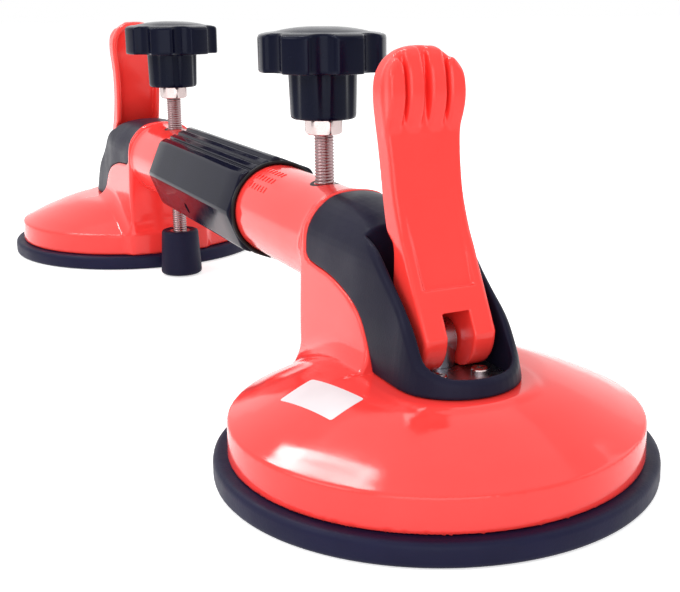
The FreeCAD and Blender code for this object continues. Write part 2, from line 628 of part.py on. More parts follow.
def drive_nut_place():
    """The nut sits clear of the right tube at the shortest setting."""
    return SLEEVE_X1 - TUBE_OVERLAP - SPREAD_IN - 4.0 - NUT_L


def drive_nut():
    x0 = drive_nut_place()
    return ring(TUBE_R + SLIDE, SCREW_R + RUN, V(x0, 0, TUBE_Z), V(x0 + NUT_L, 0, TUBE_Z))


def retaining_ring():
    """Ring in the journal's groove that keeps the sleeve on the left tube."""
    x0 = SLEEVE_X0 + JOURNAL_L - 4.5
    return ring(TUBE_R - 0.6, JOURNAL_R - 1.2, V(x0, 0, TUBE_Z), V(x0 + 1.4, 0, TUBE_Z))


def drive_screw():
    """Hollow screw fixed in the right tube, keyed on the guide bar."""
    end = SLEEVE_X1 - TUBE_OVERLAP
    x0 = drive_nut_place() - SPREAD_OUT - 4.0
    body = fuse([cylinder(SCREW_R, V(x0, 0, TUBE_Z), V(end + 9, 0, TUBE_Z)),
                 cylinder(TUBE_BORE_R, V(end + 5, 0, TUBE_Z), V(end + 9, 0, TUBE_Z))])
    half = GUIDE_SIDE / 2 + RUN
    return body.cut(block(x0 - 1, end + 12, -half, half, TUBE_Z - half, TUBE_Z + half))


def guide_bar():
    """Square bar fixed in the left tube; keeps the heads in line."""
    half = GUIDE_SIDE / 2
    return block(SLEEVE_X0 - 8.0, SLEEVE_X1 - TUBE_OVERLAP - 6.0, -half, half,
                 TUBE_Z - half, TUBE_Z + half)


# ---------------------------------------------------------------- write every node
def save(name, shape):
    shape.exportStep("parts/" + name + ".step")


def main():
    os.makedirs("parts", exist_ok=True)
    form = saddle_form(0)
    save("left_housing", left_housing(form))
    save("right_housing", right_housing(form))
    per_head = {"shroud": shroud(form), "wear_plate": wear_plate(), "shroud_screws": shroud_screws(),
                "suction_pad": pad(), "stem_plate": stem_plate(), "pull_stem": stem(),
                "return_spring": return_spring(), "cam_lever": lever(), "lever_pin": lever_pin(),
                "threaded_bush": threaded_bush(), "star_knob": knob(), "knob_insert": knob_insert(),
                "jam_nut": jam_nut(), "levelling_rod": levelling_rod(), "rubber_foot": foot(),
                "foot_bush": foot_bush()}
    lowered = ("star_knob", "knob_insert", "jam_nut", "levelling_rod", "rubber_foot", "foot_bush")
    for name, shape in per_head.items():
        save("right_" + name, to_right(shape))
        if name in lowered:
            shape.translate(V(0, 0, -LEFT_SCREW_DROP))
        save("left_" + name, to_left(shape))
    save("grip_sleeve", sleeve())
    save("drive_nut", drive_nut())
    save("retaining_ring", retaining_ring())
    save("drive_screw", drive_screw())
    save("guide_bar", guide_bar())


main()
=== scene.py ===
import json
import bmesh
import bpy
import numpy as np
from math import cos, pi, radians, sin
from mathutils import Matrix, Vector


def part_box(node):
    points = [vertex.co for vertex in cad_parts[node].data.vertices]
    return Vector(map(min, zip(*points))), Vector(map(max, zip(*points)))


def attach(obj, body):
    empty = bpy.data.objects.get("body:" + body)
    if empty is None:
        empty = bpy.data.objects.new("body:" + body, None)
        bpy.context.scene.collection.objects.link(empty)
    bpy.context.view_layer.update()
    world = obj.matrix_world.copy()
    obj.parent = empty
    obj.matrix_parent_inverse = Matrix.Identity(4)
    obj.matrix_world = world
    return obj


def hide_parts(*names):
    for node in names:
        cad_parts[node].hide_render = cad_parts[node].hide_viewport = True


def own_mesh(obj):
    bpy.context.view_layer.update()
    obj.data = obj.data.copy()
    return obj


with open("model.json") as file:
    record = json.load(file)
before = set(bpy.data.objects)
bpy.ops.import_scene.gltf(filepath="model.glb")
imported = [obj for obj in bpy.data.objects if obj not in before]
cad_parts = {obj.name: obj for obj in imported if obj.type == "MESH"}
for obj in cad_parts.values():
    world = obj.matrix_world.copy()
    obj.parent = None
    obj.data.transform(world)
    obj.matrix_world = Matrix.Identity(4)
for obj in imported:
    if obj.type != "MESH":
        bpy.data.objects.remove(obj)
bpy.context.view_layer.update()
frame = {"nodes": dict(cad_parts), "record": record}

# Floor tile suction lifter: two vacuum cups on a telescopic spreader tube, each with a tilting
# lever and a levelling screw. Lengths are in millimetres until make_object makes them metres.
# A head is drawn in its own frame, with x outward from the cup's axis, and both sides use it.
MM = 0.001
SIDES = ("right", "left")

# ------------------------------------------------------------ places, from the frame
record = frame["record"]
joints = {j["name"]: j for j in record["behaviour"]["joints"]}


def node_mm(name):
    """Lowest and highest corner of a CAD node's box, in millimetres."""
    low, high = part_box(name)
    return np.array(low) / MM, np.array(high) / MM


pad_low, pad_high = node_mm("right_suction_pad")
CUP_X = (pad_low[0] + pad_high[0]) / 2
PIVOT_Z = joints["right_lever_swing"]["pos_m"][2] / MM
TUBE_Z = joints["sleeve_turn"]["pos_m"][2] / MM
sleeve_low, sleeve_high = node_mm("grip_sleeve")
rod_low, rod_high = node_mm("right_levelling_rod")
SCREW_X = CUP_X - (rod_low[0] + rod_high[0]) / 2
DECK_Z = node_mm("right_wear_plate")[1][2]
TUBE_R = 19.7                   # red spreader tube
NECK_X = -69                    # end of the neck, where the tube starts
ARCH_R = 21.3                   # the neck's arch over the tube
ARCH_Z = TUBE_Z + 0.8
CREST_Z = ARCH_Z + ARCH_R
PEDESTAL_Z = DECK_Z - 1.8       # foot of the black cover on the dome
BASE_HALF = 23.4                # half width of neck and cover
LIP_X = 34.0                    # front of the cover and top of its front lip
LIP_Z = PEDESTAL_Z + 6.8
CREASE_Z = 19.3                 # where the skirt turns into the dome
SKIRT_R = 70.2
SKIRT_LOW = 7.95
HEAD_TOP = 90                   # above everything on housing and cover
STEM_BORE = 6.6
LEVER_TOP = 140.0
HEAD_STEP = 0.85                # mesh steps of the moulded forms
FINE_STEP = 0.62


# ------------------------------------------------------------ mesh tools
def make_object(name, verts, faces, mat, crease=None):
    """Smooth mesh object in metres; crease is the angle above which an edge stays sharp."""
    mesh = bpy.data.meshes.new(name)
    mesh.from_pydata((np.asarray(verts) * MM).tolist(), [], [list(map(int, f)) for f in faces])
    mesh.validate()
    mesh.polygons.foreach_set("use_smooth", [True] * len(mesh.polygons))
    if crease:
        mesh.set_sharp_from_angle(angle=radians(crease))
    mesh.materials.append(mat)
    obj = bpy.data.objects.new(name, mesh)
    bpy.context.scene.collection.objects.link(obj)
    return obj


def placed(verts, side):
    """Head's own frame (x outward from the cup axis) to the row frame."""
    out = np.array(verts, float)
    out[:, 0] += CUP_X
    if side == "left":
        out[:, 0] *= -1
    return out


def sided(name, side, verts, faces, mat, body, nodes=(), crease=None):
    """Piece of one head that rides its body and stands for the CAD nodes named."""
    if side == "left":
        faces = [tuple(reversed(tuple(f))) for f in faces]
    obj = make_object(side + "_" + name, placed(verts, side), faces, mat, crease)
    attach(obj, side + "_" + body)
    if nodes:
        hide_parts(*[side + "_" + n for n in nodes])
    return obj


def smooth_line(points, steps=8):
    """Catmull-Rom line through the points."""
    p = np.array(points, float)
    p = np.vstack([2 * p[0] - p[1], p, 2 * p[-1] - p[-2]])
    out = []
    for i in range(1, len(p) - 2):
        for s in range(steps):
            t = s / steps
            out.append(0.5 * (2 * p[i] + (p[i + 1] - p[i - 1]) * t
                              + (2 * p[i - 1] - 5 * p[i] + 4 * p[i + 1] - p[i + 2]) * t * t
                              + (3 * p[i] - p[i - 1] - 3 * p[i + 1] + p[i + 2]) * t ** 3))
    out.append(p[-2])
    return [tuple(q) for q in out]


def outline(points):
    """Signed distance to a closed outline, negative inside."""
    p = np.array(points, float)
    q = np.roll(p, -1, 0)

    def distance(u, v):
        best = None
        inside = None
        for (a0, a1), (b0, b1) in zip(p, q):
            e0, e1 = b0 - a0, b1 - a1
            size = e0 * e0 + e1 * e1
            if size < 1e-12:
                continue
            wu, wv = u - a0, v - a1
            t = np.clip((wu * e0 + wv * e1) / size, 0, 1)
            d2 = (wu - t * e0) ** 2 + (wv - t * e1) ** 2
            best = d2 if best is None else np.minimum(best, d2)
            low = v >= a1
            high = v < b1
            left = e0 * wv > e1 * wu
            flip = (low & high & left) | (~low & ~high & ~left)
            inside = flip if inside is None else inside ^ flip
        return np.where(inside, -1.0, 1.0) * np.sqrt(best)
    return distance


def both(a, b, r=0.0):
    """Intersection with a convex edge of radius r."""
    if r <= 0:
        return np.maximum(a, b)
    return (np.minimum(np.maximum(a, b), -r)
            + np.hypot(np.maximum(a + r, 0), np.maximum(b + r, 0)))


def either(a, b, r=0.0):
    """Union with a concave fillet of radius r."""
    return -both(-a, -b, r)


def ease(a, b, t):
    """Smooth step from 0 at a to 1 at b."""
    s = np.clip((t - a) / (b - a), 0, 1)
    return s * s * (3 - 2 * s)


def skin(field, low, high, step):
    """Mesh of the surface field = 0 in a box: surface nets, then moved on to the surface."""
    axes = [np.arange(a, b + step, step) for a, b in zip(low, high)]
    x = axes[0][:, None, None]
    y = axes[1][None, :, None]
    z = axes[2][None, None, :]
    f = np.broadcast_to(field(x, y, z), [len(a) for a in axes]).astype(np.float32)
    cells = np.array(f.shape) - 1
    total = int(cells.prod())
    sums = np.zeros((3, total))
    count = np.zeros(total)
    edges = []
    for axis in range(3):
        a = f[tuple(slice(0, -1) if k == axis else slice(None) for k in range(3))]
        b = f[tuple(slice(1, None) if k == axis else slice(None) for k in range(3))]
        index = np.argwhere((a < 0) != (b < 0))
        va = a[tuple(index.T)]
        vb = b[tuple(index.T)]
        point = index.astype(float)
        point[:, axis] += va / (va - vb)
        other = [k for k in range(3) if k != axis]
        corner = []
        valid = np.ones(len(index), bool)
        for du, dv in ((0, 0), (-1, 0), (-1, -1), (0, -1)):
            cell = index.copy()
            cell[:, other[0]] += du
            cell[:, other[1]] += dv
            ok = ((cell >= 0) & (cell < cells)).all(1)
            valid &= ok
            flat = (cell[:, 0] * cells[1] + cell[:, 1]) * cells[2] + cell[:, 2]
            corner.append(flat)
            keep = flat[ok]
            count += np.bincount(keep, minlength=total)
            for k in range(3):
                sums[k] += np.bincount(keep, weights=point[ok, k], minlength=total)
        quad = np.stack(corner, 1)[valid]
        turn = (va < 0)[valid]
        if axis == 1:
            turn = ~turn
        quad[~turn] = quad[~turn][:, ::-1]
        edges.append(quad)
    used = np.flatnonzero(count)
    number = np.full(total, -1)
    number[used] = np.arange(len(used))
    verts = (sums[:, used] / count[used]).T * step + np.array([a[0] for a in axes])
    faces = number[np.concatenate(edges)]
    for _ in range(2):
        c = [verts[:, k] for k in range(3)]
        d = field(*c)
        e = 0.05
        grad = np.stack([(field(*[c[k] + (e if k == m else 0) for k in range(3)]) - d) / e
                         for m in range(3)], 1)
        size = np.maximum((grad ** 2).sum(1), 0.2)
        move = -(d / size)[:, None] * grad
        length = np.linalg.norm(move, axis=1, keepdims=True)
        verts = verts + move * np.minimum(1, 0.6 * step / np.maximum(length, 1e-9))
    return verts, faces


def stacked(rows, count, closed=False, caps=False):
    """Faces of rings of points laid one on the next; closed joins the last to the first."""
    faces = []
    for k in range(rows if closed else rows - 1):
        m = (k + 1) % rows
        for i in range(count):
            j = (i + 1) % count
            faces.append((k * count + i, k * count + j, m * count + j, m * count + i))
    if caps:
        faces += [tuple(range(count - 1, -1, -1)), tuple(range((rows - 1) * count, rows * count))]
    return faces


def lathe(profile, count=96, centre=(0, 0), axis="z"):
    """Turned mesh from (radius, height) points; radius 0 closes an end."""
    verts = []
    faces = []
    rows = []
    for r, h in profile:
        if r < 1e-6:
            rows.append([len(verts)])
            verts.append((0.0, 0.0, h))
        else:
            rows.append(list(range(len(verts), len(verts) + count)))
            for i in range(count):
                a = 2 * pi * i / count
                verts.append((r * cos(a), r * sin(a), h))
    for low, high in zip(rows[:-1], rows[1:]):
        for i in range(count):
            j = (i + 1) % count
            if len(low) == 1 and len(high) == 1:
                continue
            if len(low) == 1:
                faces.append((low[0], high[j], high[i]))
            elif len(high) == 1:
                faces.append((low[i], low[j], high[0]))
            else:
                faces.append((low[i], low[j], high[j], high[i]))
    v = np.array(verts)
    if axis == "x":
        v = v[:, [2, 0, 1]]
        return v + np.array([0, centre[0], centre[1]]), faces
    return v + np.array([centre[0], centre[1], 0]), faces


# ------------------------------------------------------------ materials
ROUGH_LESS, ROUGH_MORE = 0.08, 0.0836
GRAIN_DEPTH = 0.0004


def material(name, color, rough, *, metal=0.0, coat=0.0, grain=900.0, bump=0.02, spread=0.04,
             wear=None, specular=0.5, tint=(1, 1, 1)):
    """Plastic, rubber or metal with uneven colour, fine grain and worn edges."""
    mat = bpy.data.materials.new(name)
    mat.use_nodes = True
    tree = mat.node_tree
    nodes, links = tree.nodes, tree.links
    shader = nodes["Principled BSDF"]
    shader.inputs["Metallic"].default_value = metal
    shader.inputs["Coat Weight"].default_value = coat
    shader.inputs["Coat Roughness"].default_value = 0.06
    shader.inputs["Specular IOR Level"].default_value = specular
    shader.inputs["Specular Tint"].default_value = (*tint, 1)
    coords = nodes.new("ShaderNodeTexCoord")

    def noise(scale, detail=3.0, rough_noise=0.6):
        n = nodes.new("ShaderNodeTexNoise")
        n.inputs["Scale"].default_value = scale
        n.inputs["Detail"].default_value = detail
        n.inputs["Roughness"].default_value = rough_noise
        links.new(coords.outputs["Object"], n.inputs["Vector"])
        return n

    cloud = noise(28.0)
    ramp = nodes.new("ShaderNodeValToRGB")
    low = [max(0.0, c * (1 - 2.0 * spread)) for c in color]
    high = [min(1.0, c * (1 + spread) + 0.01 * spread) for c in color]
    ramp.color_ramp.elements[0].position = 0.3
    ramp.color_ramp.elements[0].color = (*low, 1)
    ramp.color_ramp.elements[1].position = 0.7
    ramp.color_ramp.elements[1].color = (*high, 1)
    links.new(cloud.outputs["Fac"], ramp.inputs["Fac"])
    base = ramp.outputs["Color"]
    if wear:
        geometry = nodes.new("ShaderNodeNewGeometry")
        edge = nodes.new("ShaderNodeMapRange")
        edge.inputs["From Min"].default_value = 0.53
        edge.inputs["From Max"].default_value = 0.62
        links.new(geometry.outputs["Pointiness"], edge.inputs["Value"])
        patch = noise(160.0, 4.0, 0.7)
        part = nodes.new("ShaderNodeMath")
        part.operation = "MULTIPLY"
        links.new(edge.outputs["Result"], part.inputs[0])
        links.new(patch.outputs["Fac"], part.inputs[1])
        mix = nodes.new("ShaderNodeMix")
        mix.data_type = "RGBA"
        mix.inputs["B"].default_value = (*wear, 1)
        links.new(part.outputs[0], mix.inputs["Factor"])
        links.new(base, mix.inputs["A"])
        base = mix.outputs["Result"]
    links.new(base, shader.inputs["Base Color"])
    smudge = noise(65.0, 5.0, 0.65)
    level = nodes.new("ShaderNodeMapRange")
    level.inputs["From Min"].default_value = 0.3
    level.inputs["From Max"].default_value = 0.75
    level.inputs["To Min"].default_value = max(0.02, rough - ROUGH_LESS)
    level.inputs["To Max"].default_value = min(1.0, rough + ROUGH_MORE)
    links.new(smudge.outputs["Fac"], level.inputs["Value"])
    links.new(level.outputs["Result"], shader.inputs["Roughness"])
    grit = noise(grain, 2.0, 0.5)
    surface = nodes.new("ShaderNodeBump")
    surface.inputs["Strength"].default_value = bump
    surface.inputs["Distance"].default_value = GRAIN_DEPTH
    links.new(grit.outputs["Fac"], surface.inputs["Height"])
    links.new(surface.outputs["Normal"], shader.inputs["Normal"])
    return mat


RED_WEAR = (1.0, 0.11, 0.085)
BLACK_WEAR = (0.03, 0.03, 0.05)
COOL = (0.78, 0.84, 1.0)
RED = material("red_gloss", (1.0, 0.05, 0.044), 0.14, coat=0.12, grain=240, spread=0.03,
               wear=RED_WEAR, specular=0.3)
RED_LEVER = material("red_lever", (1.0, 0.05, 0.041), 0.17, coat=0.08, grain=240, spread=0.03,
                     wear=RED_WEAR, specular=0.3)
SHROUD = material("black_satin", (0.011, 0.01, 0.024), 0.38, grain=1500, bump=0.1, spread=0.12,
                  wear=BLACK_WEAR, specular=0.07, tint=COOL)
RUBBER = material("pad_rubber", (0.005, 0.004, 0.026), 0.5, grain=1100, bump=0.14, spread=0.15,
                  wear=BLACK_WEAR, specular=0.18, tint=COOL)
FOOT = material("foot_rubber", (0.006, 0.005, 0.02), 0.55, grain=1100, bump=0.18, spread=0.15,
                wear=BLACK_WEAR, specular=0.15, tint=COOL)
SLEEVE = material("sleeve_gloss", (0.006, 0.006, 0.017), 0.13, coat=0.02, grain=500, bump=0.015,
                  spread=0.1, wear=(0.04, 0.04, 0.05), specular=0.05, tint=COOL)
KNOB = material("knob_satin", (0.0015, 0.002, 0.012), 0.24, grain=700, bump=0.025, spread=0.12,
                wear=(0.02, 0.025, 0.05), specular=0.12, tint=COOL)
# pinkish base colour: painted reflection of the red housing in the steel of nuts, screws and pins
STEEL = material("bright_steel_painted_red_reflection", (0.54, 0.44, 0.43), 0.24, metal=1.0, grain=1400, bump=0.06,
                 spread=0.06)
# pinkish brown base colour: painted reflection of the red housing in the steel of the rods
ROD = material("rod_steel", (0.31, 0.21, 0.215), 0.27, metal=1.0, grain=1400, bump=0.05,
               spread=0.08)
ZINC = material("zinc_steel", (0.36, 0.36, 0.4), 0.3, metal=1.0, bump=0.08, spread=0.1)
SPRING = material("spring_steel", (0.36, 0.36, 0.38), 0.3, metal=1.0, bump=0.05, spread=0.1)
BRASS = material("brass", (0.74, 0.52, 0.22), 0.32, metal=1.0, bump=0.05, spread=0.08)
NYLON = material("nylon_white", (0.72, 0.71, 0.66), 0.42, bump=0.05, spread=0.05)
LABEL = material("label_paper", (0.80, 0.72, 0.74), 0.4, bump=0.03, spread=0.05, specular=0.3)
# near black: painted shade in the rod's mouth and on the floor of the sleeve's hole, and the own
# dark colour of the sleeve's end lip
BLACK_AND_PAINTED_SHADE = material("black_and_painted_shade", (0.006, 0.004, 0.005), 0.5, bump=0.05, spread=0.1, specular=0.2)

# ------------------------------------------------------------ the head's form
side_line = smooth_line([(NECK_X, CREST_Z - 3.2), (-66, CREST_Z - 0.8), (-60, CREST_Z),
                         (-45, CREST_Z), (-25, CREST_Z - 3.6), (-10, CREST_Z - 11.3),
                         (0, CREST_Z - 19.3), (6, CREST_Z - 24), (11.6, CREST_Z - 29),
                         (15.5, CREST_Z - 33.2), (18.5, CREST_Z - 37.4), (21.5, CREST_Z - 41.2),
                         (26, LIP_Z + 1.9), (30, LIP_Z + 0.6), (37, LIP_Z)], 5)
side_shape = outline(side_line + [(37, 0), (NECK_X, 0)])
front_x = LIP_X - BASE_HALF
nose = [(front_x + BASE_HALF * sin(a), BASE_HALF * cos(a))
        for a in (pi * i / 24 for i in range(25))]
neck_half = BASE_HALF - 1.0
half_plan = smooth_line([(NECK_X, neck_half), (-40, neck_half), (-15, neck_half + 0.4),
                         (-2, BASE_HALF - 0.2), (front_x, BASE_HALF)], 5)
plan_shape = outline(half_plan[:-1] + nose + [(x, -y) for x, y in reversed(half_plan[:-1])])
arch = [(ARCH_R * cos(a), ARCH_Z + ARCH_R * sin(a)) for a in (pi * i / 24 for i in range(25))]
flank = smooth_line([(-ARCH_R, ARCH_Z), (-ARCH_R - 1.3, (ARCH_Z + PEDESTAL_Z) / 2),
                     (-BASE_HALF, PEDESTAL_Z)], 6)[1:]
end_shape = outline(arch + flank + [(-BASE_HALF, 0), (BASE_HALF, 0)]
                    + [(-y, z) for y, z in reversed(flank)])
# the seam between red housing and black cover, seen from the side
zone_start = -63.8
low_z = TUBE_Z - 4.0
fall = low_z - PEDESTAL_Z
seam = smooth_line([(zone_start, CREST_Z), (zone_start, low_z + 5.5),
                    (zone_start + 0.8, low_z + 2.6), (zone_start + 3.6, low_z + 0.8),
                    (zone_start + 10, low_z), (zone_start + 19, low_z - 0.6),
                    (-35, low_z - 0.08 * fall), (-24, low_z - 0.2 * fall),
                    (-16.5, low_z - 0.36 * fall), (-11.5, low_z - 0.58 * fall),
                    (-7.5, low_z - 0.83 * fall), (-5, PEDESTAL_Z)], 5)
zone_shape = outline(seam + [(60, PEDESTAL_Z), (60, 160), (zone_start, 160)])
# the open channel that the lever stands in, seen from above
channel_front = 30.6
channel_half = 16.0
nose_long = 12
channel_nose = [(channel_front - nose_long + nose_long * sin(a), channel_half * cos(a))
                for a in (pi * i / 24 for i in range(25))]
channel_shape = outline([(-20, channel_half)] + channel_nose + [(-20, -channel_half)])
dome_line = smooth_line([(69.9, CREASE_Z), (68.6, CREASE_Z + 0.7), (65.5, CREASE_Z + 2.2),
                         (60, CREASE_Z + 4.9), (52, CREASE_Z + 8.3), (44, CREASE_Z + 11.3),
                         (36, CREASE_Z + 13.4), (26, CREASE_Z + 14.4), (12, CREASE_Z + 14.6),
                         (0, CREASE_Z + 14.6)], 5)
dome_shape = outline([(SKIRT_R, SKIRT_LOW)] + dome_line
                     + [(-r, z) for r, z in reversed(dome_line[:-1])] + [(-SKIRT_R, SKIRT_LOW)])


FLANK_LEAN = 0.168              # how far the flanks lean in for each millimetre up
DOME_WALL = 3.0
COVER_SEAT = 3.7                # depth of the housing's step under the cover
COVER_T = 2.6
COVER_INSET = 0.55
SEAM_GAP = 0.25
CHANNEL_WALL = 2.3
BOSS_R = 11.0                   # guide boss of the pull stem


def saddle(x, y, z):
    """Outer form of neck and cover, with flanks that lean in beside the channel."""
    lean = FLANK_LEAN * np.clip(z - PEDESTAL_Z, 0, 40) * ease(-24, 12, x)
    plan = plan_shape(x, y) + lean
    body = both(plan, end_shape(y, z), 4.0)
    return both(body, side_shape(x, z), 3.2)


def housing_field(x, y, z):
    """Red housing: dome, skirt and neck, stepped in under the cover, hollow below the dome."""
    form = saddle(x, y, z)
    r = np.hypot(x, y)
    dome = dome_shape(r, z)
    outer = either(dome, form, 8.0)
    outer = np.maximum(outer, SKIRT_LOW - z)
    zone = zone_shape(x, z)
    channel = channel_shape(x, y)
    # rounded ledge where the black cover sits
    red = both(outer, -zone, 0.9)
    core = np.maximum(form + COVER_SEAT, 2.2 - channel)
    deck = np.maximum(form + COVER_SEAT, z - (DECK_Z - 2.2))
    solid = np.minimum(np.minimum(red, core), deck)
    hollow = np.minimum(dome + DOME_WALL, np.maximum(form + 6.5, z - (DECK_Z - 5.2)))
    hollow = np.maximum(hollow, z - (DECK_Z - 5.2))
    boss = np.maximum(np.maximum(r - BOSS_R, STEM_BORE - r), DECK_Z - 14 - z)
    solid = np.maximum(solid, -hollow)
    solid = np.minimum(solid, np.maximum(boss, z - (DECK_Z - 4)))
    return np.maximum(solid, STEM_BORE - r)


def shroud_field(x, y, z):
    """Black saddle cover: a shell on the neck with walls round the open channel."""
    form = saddle(x, y, z) + COVER_INSET
    zone = zone_shape(x, z) + SEAM_GAP
    channel = channel_shape(x, y)
    shell = both(np.maximum(form, -(form + COVER_T)), zone, 0.8)
    wall = np.maximum(np.maximum(channel - CHANNEL_WALL, form), PEDESTAL_Z + 0.2 - z)
    body = np.minimum(shell, np.maximum(wall, zone))
    return both(body, -channel, 1.1)


def build_head(step):
    """Housing and cover of both heads from one pair of forms."""
    low, high = (-71, -71.5, 7), (72, 71.5, HEAD_TOP)
    verts, faces = skin(housing_field, low, high, step)
    for side in SIDES:
        sided("housing_shell", side, verts, faces, RED, "head", ["housing"])
    verts, faces = skin(shroud_field, (-65, -26, PEDESTAL_Z - 1), (37, 26, HEAD_TOP),
                        step * 0.75)
    for side in SIDES:
        sided("saddle_cover", side, verts, faces, SHROUD, "head", ["shroud"])


build_head(HEAD_STEP)


# ------------------------------------------------------------ tubes and scale
JOURNAL_BORE = 16.0             # left tube, closed over the guide bar further in
TUBE_BORE = 16.2                # right tube
INNER_R = 12.6
INNER_LENGTH = 46


def tube(side, end_x, journal):
    """Red tube from the neck to the sleeve, flared where it leaves the neck."""
    start = -67.0
    points = [(TUBE_R + 0.4, start), (TUBE_R + 0.9, start - 1.6), (TUBE_R + 0.35, start - 3.0),
              (TUBE_R + 0.1, start - 4.6), (TUBE_R, start - 6.5)]
    length = start - 6.5 - end_x
    points += [(TUBE_R, start - 6.5 - length * k / 6) for k in range(1, 6)]
    if journal:
        points += [(TUBE_R, end_x + 0.8), (TUBE_R - 0.8, end_x), (JOURNAL_BORE, end_x),
                   (JOURNAL_BORE, end_x - INNER_LENGTH), (INNER_R, end_x - INNER_LENGTH),
                   (INNER_R, end_x - 1)]
    else:
        points += [(TUBE_R, end_x + 0.8), (TUBE_R - 0.8, end_x), (TUBE_BORE, end_x),
                   (TUBE_BORE, end_x + 5)]
    verts, faces = lathe(points, 96, (0, TUBE_Z), "x")
    sided("tube", side, verts, faces, RED, "head")


sleeve_left = sleeve_low[0]
sleeve_right = sleeve_high[0]
tube("right", sleeve_right - 20 - CUP_X, False)
tube("left", -(sleeve_left - 0.3) - CUP_X, True)


def patch_on_tube(x0, x1, a0, a1, height):
    """Thin raised patch on the tube's crown between two angles from the top."""
    cols, rows = 6, 2
    verts = []
    faces = []
    for r in (TUBE_R - 0.2, TUBE_R + height):
        for i in range(cols + 1):
            a = radians(a0 + (a1 - a0) * i / cols)
            for j in range(rows):
                x = x0 + (x1 - x0) * j
                verts.append((x, -r * sin(a), TUBE_Z + r * cos(a)))
    n = (cols + 1) * rows
    for i in range(cols):
        k = n + i * rows
        faces.append((k, k + 1, k + 3, k + 2))
        for j in (0, 1):
            p = i * rows + j
            quad = (p, p + rows, p + rows + n, p + n)
            faces.append(quad if j == 0 else tuple(reversed(quad)))
    faces.append((0, n, n + 1, 1))
    p = cols * rows
    faces.append((p, p + 1, p + 1 + n, p + n))
    return verts, faces


STROKE_PITCH, STROKE_WIDE, STROKE_TURN, STROKE_HIGH = 3.4, 1.1, 8, 0.3   # turn in degrees


def scale_marks():
    """Raised generic scale beside the sleeve: three rows of short equal strokes."""
    verts, faces = [], []

    def add(x0, x1, a0, a1):
        v, f = patch_on_tube(x0, x1, a0, a1, STROKE_HIGH)
        base = len(verts)
        verts.extend(v)
        faces.extend([tuple(base + i for i in q) for q in f])

    x = sleeve_right + 2.2 - CUP_X
    for i in range(7):
        for low in (14, 29, 44):
            add(x + STROKE_PITCH * i, x + STROKE_PITCH * i + STROKE_WIDE, low, low + STROKE_TURN)
    return verts, faces


verts, faces = scale_marks()
sided("scale_marks", "right", verts, faces, RED, "head", crease=30)


def rod_mouth(side):
    """Chamfered mouth in the tube's crown round the levelling rod, black as painted shade of the
    hole the rod goes through.
    """
    verts = []
    count = 48
    rings = ((5.9, 0.015), (5.7, 0.03), (5.2, 0.035), (4.3, 0.02), (4.25, -1.2))
    for r, lift in rings:
        for i in range(count):
            a = 2 * pi * i / count
            y = r * sin(a)
            verts.append((-SCREW_X + r * cos(a), y, TUBE_Z + (TUBE_R ** 2 - y ** 2) ** 0.5 + lift))
    faces = stacked(len(rings), count)
    sided("rod_mouth", side, verts, faces, BLACK_AND_PAINTED_SHADE, "head")


for side in SIDES:
    rod_mouth(side)


# ------------------------------------------------------------ pads
PAD_TOP = 7.8
# half section from the middle of the face, round the sealing rim and over the top
pad_line = [(0, 0.8), (52, 0.8), (56, 0.1), (73.4, 0.0), (74.3, 0.25), (74.85, 0.9), (75.0, 1.8),
            (75.0, 5.6), (74.8, 6.7), (74.2, 7.4), (73.2, 7.75), (71.8, PAD_TOP), (66.6, PAD_TOP),
            (65.8, 10.7), (62.4, 10.8), (60.5, 6.4), (28.5, 5.0), (0, 4.9)]
for side in SIDES:
    verts, faces = lathe(pad_line, 192)
    sided("pad", side, verts, faces, RUBBER, "head", ["suction_pad"], crease=50)


# ------------------------------------------------------------ levers
CAM_LOW = 8.5                   # reach below the pin with the lever upright
CAM_RATE = 5.2                  # growth of the reach for each radian
FORK_HALF = 5.0
FORK_TOP = 55.8
PIN_BORE = 2.55
PANEL_LOW, PANEL_TOP, PANEL_HALF, PANEL_DEPTH = 63.0, 91, 9.8, 1.7
# finger ridges: middle, top and half width of each
RIDGES = ((4.05, 140.3, 3.0), (-4.05, 140.3, 3.0), (11.2, 136.2, 3.1), (-11.2, 136.2, 3.1))


def cam_outline():
    """Lever's foot: its reach from the pin grows evenly with the angle."""
    points = []
    for step in range(13):
        a = radians(90) * step / 12
        reach = CAM_LOW + CAM_RATE * a
        points.append((reach * sin(a) + CAM_RATE * cos(a),
                       PIVOT_Z - reach * cos(a) + CAM_RATE * sin(a)))
    return points


cam = cam_outline()
lever_front = smooth_line([cam[-1], (11.9, 57.7), (6.9, 66.7), (2.7, 74.7), (-0.9, 81.2),
                           (-4.9, 91.7), (-7.2, 104.0), (-8.3, 112.0), (-9.2, 119.0),
                           (-9.7, 125.0), (-9.9, 131.0), (-10.6, 136.2), (-12.2, 139.2),
                           (-13.8, LEVER_TOP)], 5)
lever_back = smooth_line([(-16.4, 138.6), (-18.0, 133.5), (-18.0, 121.7), (-16.8, 105.7),
                          (-14.4, 90.7), (-12.6, 83.0), (-11.3, 79.2), (-8.9, 77.1),
                          (-6.8, 75.0), (-6.3, 70.0), (-6.8, 60.0),
                          (-7.0, 47.7), (-6.4, 37.5), (-4.5, 35.2)], 5)
lever_shape = outline(cam[:-1] + lever_front + lever_back)
face_z = np.array([q[1] for q in lever_front[:-8]])
face_x = np.array([q[0] for q in lever_front[:-8]])
hollow_back = [(x - 3.2 - 1.4 * float(ease(100, 120, z)), z) for x, z in lever_front
               if 60 < z < 136]
hollow_back += [(-40, 136), (-40, 58)]
hollow_shape = outline(hollow_back)
